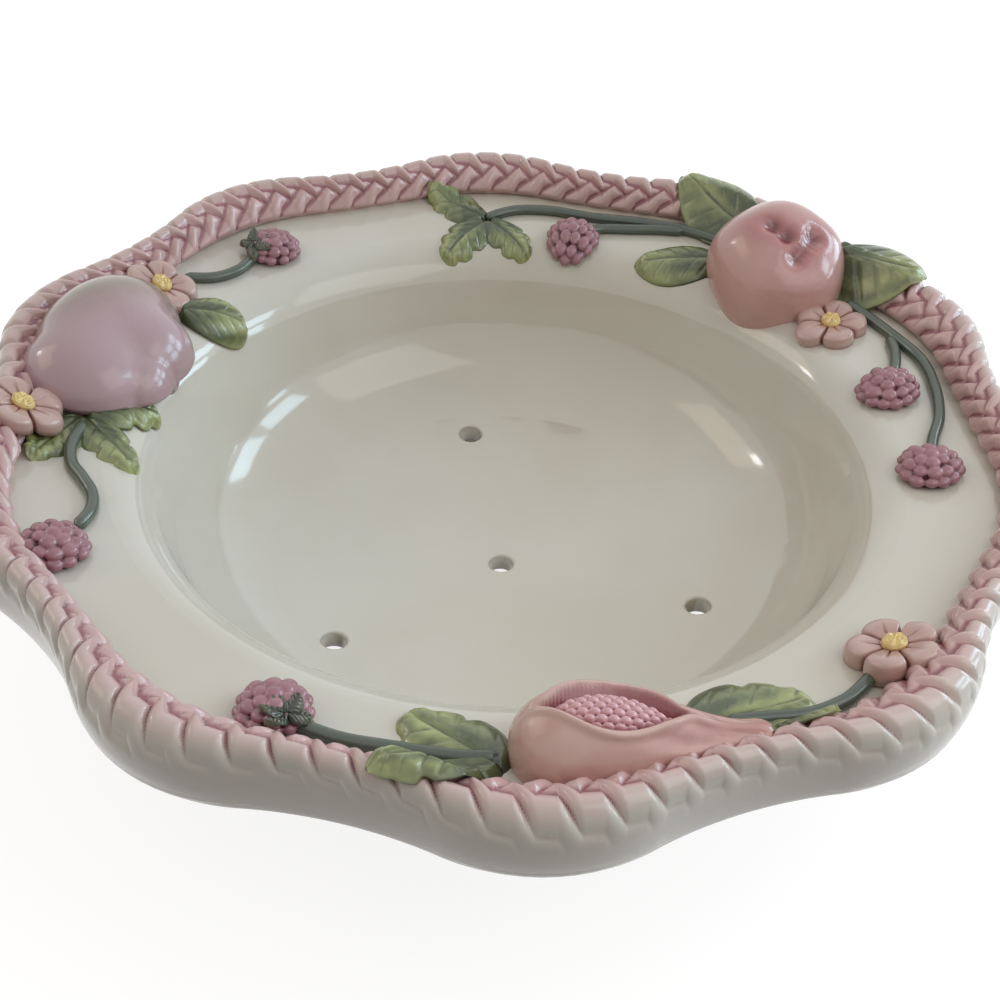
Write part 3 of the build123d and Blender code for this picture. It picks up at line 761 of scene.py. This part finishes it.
def peach_height(u, v):
    """The ovals' soft maximum, which is 0 outside all of them."""
    total = 0
    for cu, cv, ru, rv, rise in peach_ovals:
        dome = rise * np.sqrt(np.maximum(0, 1 - ((u - cu) / ru) ** 2 - ((v - cv) / rv) ** 2))
        total = total + dome**PEACH_MELT
    return total ** (1 / PEACH_MELT)


def peach_edge(turn):
    """How far the peach reaches each way, counted in small steps and then evened out."""
    steps = along(PEACH_SEARCH, round(PEACH_SEARCH / PEACH_STEP))
    inside_it = peach_height(steps * np.cos(turn), steps * np.sin(turn)) > 0
    edge = inside_it.sum(0)[None, :] * PEACH_STEP
    near = range(-PEACH_EVEN, PEACH_EVEN + 1)
    return sum(np.roll(edge, k, 1) for k in near) / len(near)


def peach():
    axes, base = standing(*peach_place)
    turn = around(200)
    away = peach_edge(turn) * np.sin(along(1, 70) * math.pi / 2)
    u, v = away * np.cos(turn), away * np.sin(turn)
    top = peach_height(PEACH_INSET * u, PEACH_INSET * v)
    grid = base + np.stack([u, v, top], -1) @ axes
    skirt = []
    for sunk in np.radians(tuck_turns):
        tucked = base + (grid[-1] - base) * (1 - PEACH_TUCK_IN * (1 - math.cos(sunk)))
        skirt.append(tucked - PEACH_TUCK * math.sin(sunk) * axes[2])
    under = (len(tuck_turns), turn.size)
    # painted shade: the peach is painted darker low down near the flange, and darker still underneath
    deep = np.concatenate([0.3 * smooth(7, 1, top), np.full(under, 0.45)])
    # painted shade: the outer side, the back lobe that lies in shade, leans to the duller, browner colour
    outer = smooth(8, -20, u + v)
    shaded_side = np.concatenate([outer, np.broadcast_to(outer[-1], under)])
    grid = np.concatenate([grid, skirt])
    return skin("peach", grid, peach_paint, ["peach"], deep, shaded_side)


print("peach", len(peach().data.polygons), "faces")

# %% [markdown]
# ## Apple
#
# The apple leans to the front and shows its blossom end: two deep folds with ridges between them.
# Sculpting by hand would press the folds too, but numbers are easier to move. So it is a ball in polar
# rows about the blossom end, and a fold is a row of pits by distance from points on a line there.

# %% Apple
apple_place = (45.0, 0.3, -92.0, 4.6, 30.0)
APPLE, APPLE_SQUASH = 20.6, 0.9
# both ends by way and distance about the blossom end, and depth
apple_folds = (((203, 0.5), (222, 0.26), 3.0), ((302, 0.34), (76, 0.22), 2.6))
FOLD_PITS, FOLD_WIDTH, FOLD_BLUSH = 7, 0.15, 0.3


def polar_point(way, away):
    return away * np.array([math.cos(math.radians(way)), math.sin(math.radians(way))])


def apple_pits(polar, turn):
    """How deep the folds are pressed, and how red it is about them."""
    pits, red = 0, 0
    for start, end, deep in apple_folds:
        for share in np.linspace(0, 1, FOLD_PITS):
            pu, pv = polar_point(*start) * (1 - share) + polar_point(*end) * share
            away = np.hypot(polar * np.cos(turn) - pu, polar * np.sin(turn) - pv)
            bite = 0.65 + 0.35 * abs(2 * share - 1)
            pits = np.maximum(pits, bite * deep * hump(away, FOLD_WIDTH))
            red = np.maximum(red, hump(away, FOLD_BLUSH))
    return pits, red


def apple():
    axes, base = standing(*apple_place)
    polar, turn = np.radians(along(158, 100)), around(180)
    pits, red = apple_pits(polar, turn)
    ribs = 0.45 * np.cos(5 * turn) * np.sin(polar) ** 2
    shoulder = 0.8 * hump(polar - 0.75, 0.3)
    radius = APPLE + 0.9 * np.sin(polar) ** 2 + ribs + shoulder - pits
    across = radius * np.sin(polar)
    rise = APPLE_SQUASH * radius * np.cos(polar)
    grid = base + np.stack([across * np.cos(turn), across * np.sin(turn), rise], -1) @ axes
    blush = 0.8 * red + 0.3 * smooth(1.5, 0.4, polar) + 0.25 * np.sin(3 * turn + 4 * polar) * np.sin(polar)
    return skin("apple", grid, apple_paint, ["apple"], 0.3 * pits, np.clip(blush, 0, 1))


print("apple", len(apple().data.polygons), "faces")

# %% [markdown]
# ## Fig
#
# The fig lies along the rim with its side split open over the seeds. A boolean cut would open it with a
# sharp edge, so it is turned about its own axis, wrinkled towards the neck, with the split sunk into the
# rows of points and a raised lip left around it. The seeds are a bed of beads in staggered rows, set
# inside the split.

# %% Fig
fig_axes, fig_base = standing(280.3, 0.39, 83.0, 3.4, 0.0)
# along the axis, and radius
fig_outline = (
    (-18, 0.4), (-17.2, 4.6), (-14, 8.8), (-8, 11.8), (0, 12.4), (8, 11.2),
    (16, 8.4), (23, 6.2), (30, 5.0), (35.6, 4.6), (37, 0.6),
)
fig_line = flowing(fig_outline, 9)
SPLIT_AT, SPLIT_HALF_LENGTH, SPLIT_HALF_WIDTH = 3.0, 16.5, 8.0
SPLIT_DEPTH, SPLIT_LIP = 4.0, 1.1
SPLIT_TURN = math.radians(86)


def split_width(x):
    """Half the width of the split, which closes to a point at both ends."""
    return SPLIT_HALF_WIDTH * np.maximum(1 - ((x - SPLIT_AT) / SPLIT_HALF_LENGTH) ** 2, 0) ** 1.6


def fig_body():
    x, size = fig_line[:, :1], fig_line[:, 1:]
    turn = around(220)
    open_at = split_width(x)
    past = np.abs(np.angle(np.exp(1j * (turn - SPLIT_TURN))) * size) - open_at
    hollow = smooth(0.3, -0.9, past) * smooth(0.0, 1.5, open_at)
    lip = hump(past - 1.2, 1.0) * smooth(-17, -12, x) * smooth(27, 20, x)
    folds = np.sin(7 * turn + 0.1 * x) + 0.6 * np.sin(11 * turn - 0.14 * x)
    wrinkle = 0.3 * folds * smooth(2, 20, x) * smooth(37, 33, x)
    radius = size + wrinkle - SPLIT_DEPTH * hollow + SPLIT_LIP * lip
    local = np.stack([x * np.ones_like(turn), radius * np.cos(turn), radius * np.sin(turn)], -1)
    rim_line = hump(past, 0.6) * smooth(-16, -12, x) * smooth(25, 20, x)
    depth = np.clip(hollow + 0.6 * rim_line + 0.25 * smooth(0.3, -0.8, folds) * smooth(6, 22, x), 0, 1)
    blush = np.clip(0.2 + 0.55 * smooth(4, 24, x) + 0.3 * np.sin(5 * turn + 0.2 * x) - 0.4 * lip, 0, 1)
    return skin("fig", fig_base + local @ fig_axes, fig_paint, ["fig"], depth, blush)


print("fig", len(fig_body().data.polygons), "faces")

# %% Seeds in the split
SEED_PITCH, SEED_BEAD, SEED_SUNK = 2.5, 1.45, 2.9
SEED_ROW = 0.87 * SEED_PITCH


def fig_seeds():
    out, turn = along(1, 90), around(260)
    s = 0.86 * SPLIT_HALF_LENGTH * out * np.cos(turn)
    here = s + SPLIT_AT
    t = np.sin(turn) * 0.98 * split_width(here) * out
    row = np.round(t / SEED_ROW)
    column = np.round(s / SEED_PITCH - 0.5 * (row % 2)) + 0.5 * (row % 2)
    away = np.hypot(s - column * SEED_PITCH, t - row * SEED_ROW)
    dome = np.sqrt(np.maximum(0, SEED_BEAD**2 - away**2))
    size = np.interp(here, fig_line[:, 0], fig_line[:, 1])
    depth = np.maximum(size - SEED_SUNK + dome - 1.8 * out**8, 0.5)
    way = SPLIT_TURN + t / np.maximum(size, 4)
    grid = fig_base + np.stack([here, depth * np.cos(way), depth * np.sin(way)], -1) @ fig_axes
    return skin("fig_seeds", grid, seed_paint, ["fig_seeds"], smooth(0.95, 0.2, dome), 0.3)


print("fig seeds", len(fig_seeds().data.polygons), "faces")

# %% [markdown]
# ## Calyxes
#
# Two of the berries keep a few dark sepals where the vine meets them. They are small blades of the same
# kind as the leaves, fanned over the berry's shoulder, because a pressed sepal is only a leaf made short
# and thick.

# %% Sepals
SEPAL_LENGTH, SEPAL_WIDTH, SEPAL_THICK = 5.8, 4.6, 1.8
SEPAL_START, SEPAL_LIFT = 6.0, 4.4
OVER_CLIMB, AWAY_CLIMB = 1.5, -2.0


def calyx(name, berry_name, toward, fan):
    """Sepals that start on the berry's edge, toward the vine, and fan out over it and away from it."""
    angle, across, _ = berries[berry_name]
    centre, facing = spot(angle, across, toward)
    start = centre + SEPAL_START * facing
    for k, way in enumerate(fan):
        _, sepal_way = spot(angle, across, toward + way)
        climb = OVER_CLIMB if abs(way) > 90 else AWAY_CLIMB
        blade(f"{name}_sepal_{k + 1}", (start, sepal_way), SEPAL_LENGTH, SEPAL_WIDTH, calyx_paint,
              [name], climb, lift=SEPAL_LIFT, thick=SEPAL_THICK)


calyx("left_back_calyx", "left_back_berry", 80.0, (-110, 180, 120, 60, -60))
calyx("front_calyx", "front_berry", 56.0, (-120, 180, 125, 75, -70))

# %% [markdown]
# ## Light and table
#
# Soft daylight comes from above, cool light from a four-pane window on the right, and warm light from the
# room on the left, with a small window in it. A lamp hangs over the front of the table. The panes could
# be part of a picture on the world, but area lamps are easier to size, and the glaze mirrors them on the
# far wall of the well. The photo's background was cut away, so past the bowl the camera sees white, and
# the table keeps only a soft shadow.

# %% Daylight all round
def seen_directly(tree):
    """1 for what the camera sees straight, mirrored or through glass."""
    path = tree.nodes.new("ShaderNodeLightPath")
    either = summed(tree, path.outputs["Is Camera Ray"], path.outputs["Is Glossy Ray"], "MAXIMUM")
    return summed(tree, either, path.outputs["Is Transmission Ray"], "MAXIMUM")


def daylight():
    world = bpy.data.worlds.new("daylight")
    scene.world = world
    world.use_nodes = True
    tree = world.node_tree
    way = tree.nodes.new("ShaderNodeTexCoord").outputs["Generated"]
    toward = tree.nodes.new("ShaderNodeVectorMath")
    toward.operation = "DOT_PRODUCT"
    tree.links.new(way, toward.inputs[0])
    toward.inputs[1].default_value = (0.22, 0.52, 0.82)
    room = mixed(tree, ramp(tree, toward.outputs["Value"], -0.6, 0.95), colour("675e50"), colour("d2d5d8"))
    shade = mixed(tree, seen_directly(tree), room, (1, 1, 1))
    background = tree.nodes["Background"]
    tree.links.new(shade, background.inputs["Color"])
    background.inputs["Strength"].default_value = 1.0


daylight()
print("world", scene.world.name)

# %% Table
TABLE_HALF, TABLE_GLOW = 2.5, 0.85


def table():
    mesh = bpy.data.meshes.new("table")
    corners = [(x * TABLE_HALF, y * TABLE_HALF, 0) for x, y in ((-1, -1), (1, -1), (1, 1), (-1, 1))]
    mesh.from_pydata(corners, [], [(0, 1, 2, 3)])
    top = bpy.data.objects.new("table", mesh)
    scene.collection.objects.link(top)
    material, tree, shader = fresh_material("white table")
    shader.inputs["Base Color"].default_value = (0.25, 0.24, 0.23, 1)
    shader.inputs["Roughness"].default_value = 0.9
    shader.inputs["Emission Color"].default_value = (1, 1, 1, 1)
    glow = summed(tree, seen_directly(tree), TABLE_GLOW, "MULTIPLY")
    tree.links.new(glow, shader.inputs["Emission Strength"])
    mesh.materials.append(material)
    return top


print("table", table().name)


# %% Windows
def pane(name, azimuth, lift, away, width, tall, power, tint):
    """An area lamp that faces the bowl, away in metres and power in watts."""
    light = bpy.data.lights.new(name, "AREA")
    light.shape = "RECTANGLE"
    light.size, light.size_y = width, tall
    light.energy = power
    light.color = tint
    lamp = bpy.data.objects.new(name, light)
    a, e = math.radians(azimuth), math.radians(lift)
    toward = Vector((math.cos(a) * math.cos(e), math.sin(a) * math.cos(e), math.sin(e)))
    lamp.location = toward * away
    lamp.rotation_euler = toward.to_track_quat("Z", "Y").to_euler()
    scene.collection.objects.link(lamp)


sky_blue, overcast = (0.6, 0.85, 1.0), (0.95, 0.97, 1.0)
lamp_white, room_amber = (1.0, 0.98, 0.94), (1.0, 0.84, 0.6)
for k, (azimuth, lift) in enumerate(((8, 12), (8, 28), (33, 12), (33, 28))):
    pane(f"right window {k + 1}", azimuth, lift, 1.2, 0.36, 0.24, 1.5, sky_blue)
pane("left window", 158, 26, 1.5, 0.12, 0.14, 0.5, overcast)
pane("lamp over the table", -30, 48, 0.42, 0.3, 0.3, 0.3, lamp_white)
pane("room lamp", 172, 36, 1.4, 0.8, 0.5, 1.6, room_amber)
scene.view_settings.view_transform = "Standard"
